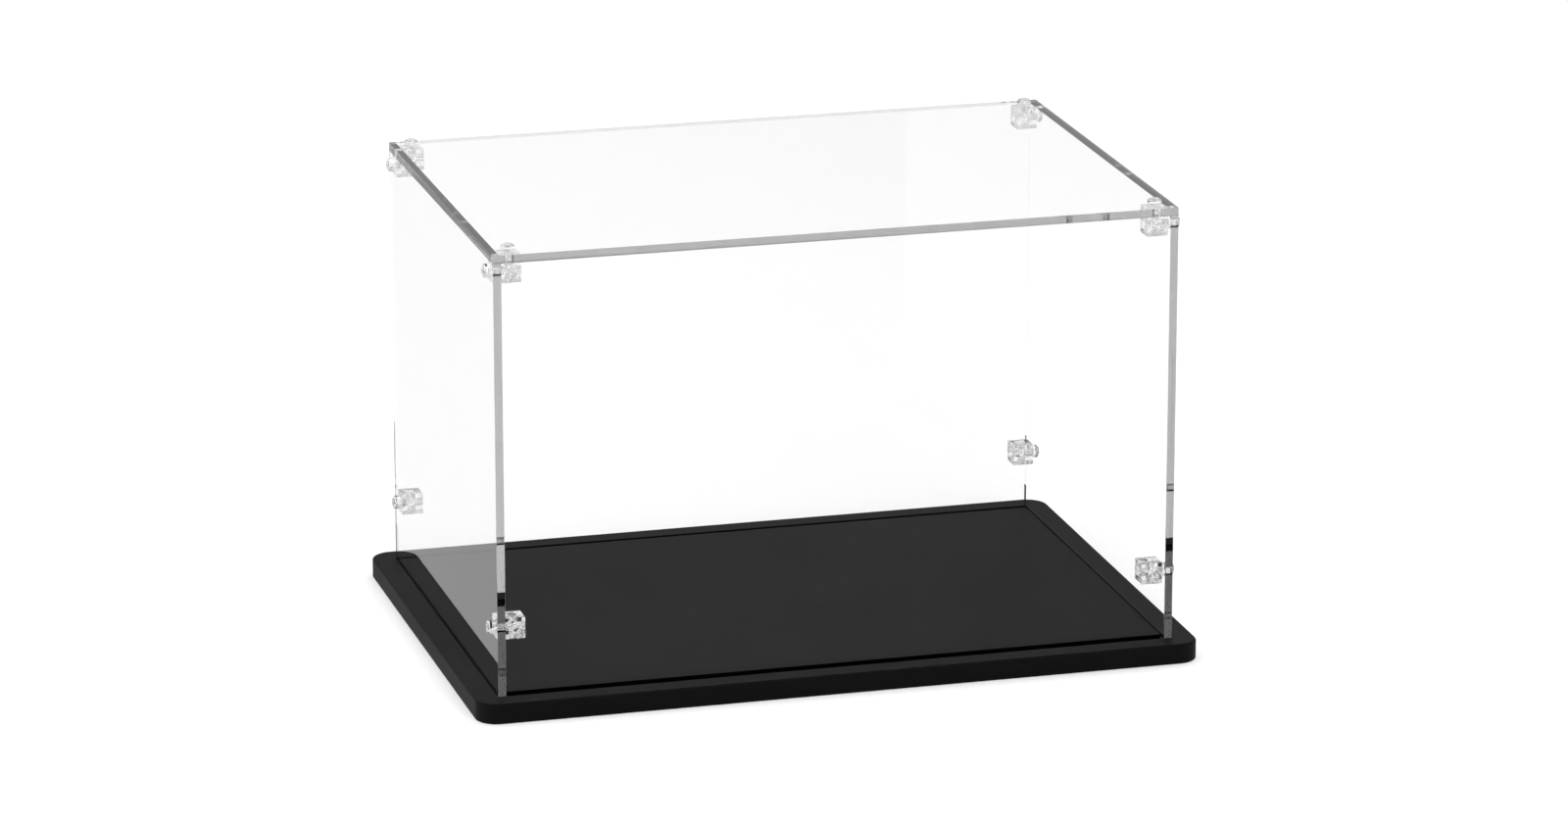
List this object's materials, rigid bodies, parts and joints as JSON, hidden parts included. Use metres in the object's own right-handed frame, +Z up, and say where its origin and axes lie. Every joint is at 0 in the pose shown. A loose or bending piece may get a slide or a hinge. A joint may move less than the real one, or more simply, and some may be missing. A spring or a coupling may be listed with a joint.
{
  "type": "football display case",
  "caption": "Clear rectangular display cover of flat panels joined by corner blocks and screws; it lifts out of a groove in a black rounded base.",
  "frame": {"origin": "centre of the base's underside, on the surface that the case stands on", "axes": "+X along the case's width, -Y out of its front, +Z up"},
  "size_m": [0.3636, 0.2526, 0.2316],
  "materials": {
    "black_base": "satin",
    "clear_sheet": "polished clear acrylic sheet",
    "clear_block": "clear moulded",
    "clear_screw": "clear moulded"
  },
  "bodies": {
    "base": {"base": "black_base"},
    "cover": {"top_panel": "clear_sheet", "left_panel": "clear_sheet", "right_panel": "clear_sheet", "front_panel": "clear_sheet", "back_panel": "clear_sheet", "corner_block_high_front_left": "clear_block", "corner_block_high_front_right": "clear_block", "corner_block_high_back_left": "clear_block", "corner_block_high_back_right": "clear_block", "corner_block_low_front_left": "clear_block", "corner_block_low_front_right": "clear_block", "corner_block_low_back_left": "clear_block", "corner_block_low_back_right": "clear_block", "top_screw_front_left": "clear_screw", "top_screw_front_right": "clear_screw", "top_screw_back_left": "clear_screw", "top_screw_back_right": "clear_screw", "side_screw_high_front_left": "clear_screw", "side_screw_high_front_right": "clear_screw", "side_screw_high_back_left": "clear_screw", "side_screw_high_back_right": "clear_screw", "side_screw_low_front_left": "clear_screw", "side_screw_low_front_right": "clear_screw", "side_screw_low_back_left": "clear_screw", "side_screw_low_back_right": "clear_screw", "face_screw_high_front_left": "clear_screw", "face_screw_high_front_right": "clear_screw", "face_screw_high_back_left": "clear_screw", "face_screw_high_back_right": "clear_screw", "face_screw_low_front_left": "clear_screw", "face_screw_low_front_right": "clear_screw", "face_screw_low_back_left": "clear_screw", "face_screw_low_back_right": "clear_screw"}
  },
  "joints": [
    {"name": "cover_lift", "type": "slide", "parent": "base", "child": "cover", "axis": [0, 0, 1], "range_m": [0, 0.2]}
  ]
}
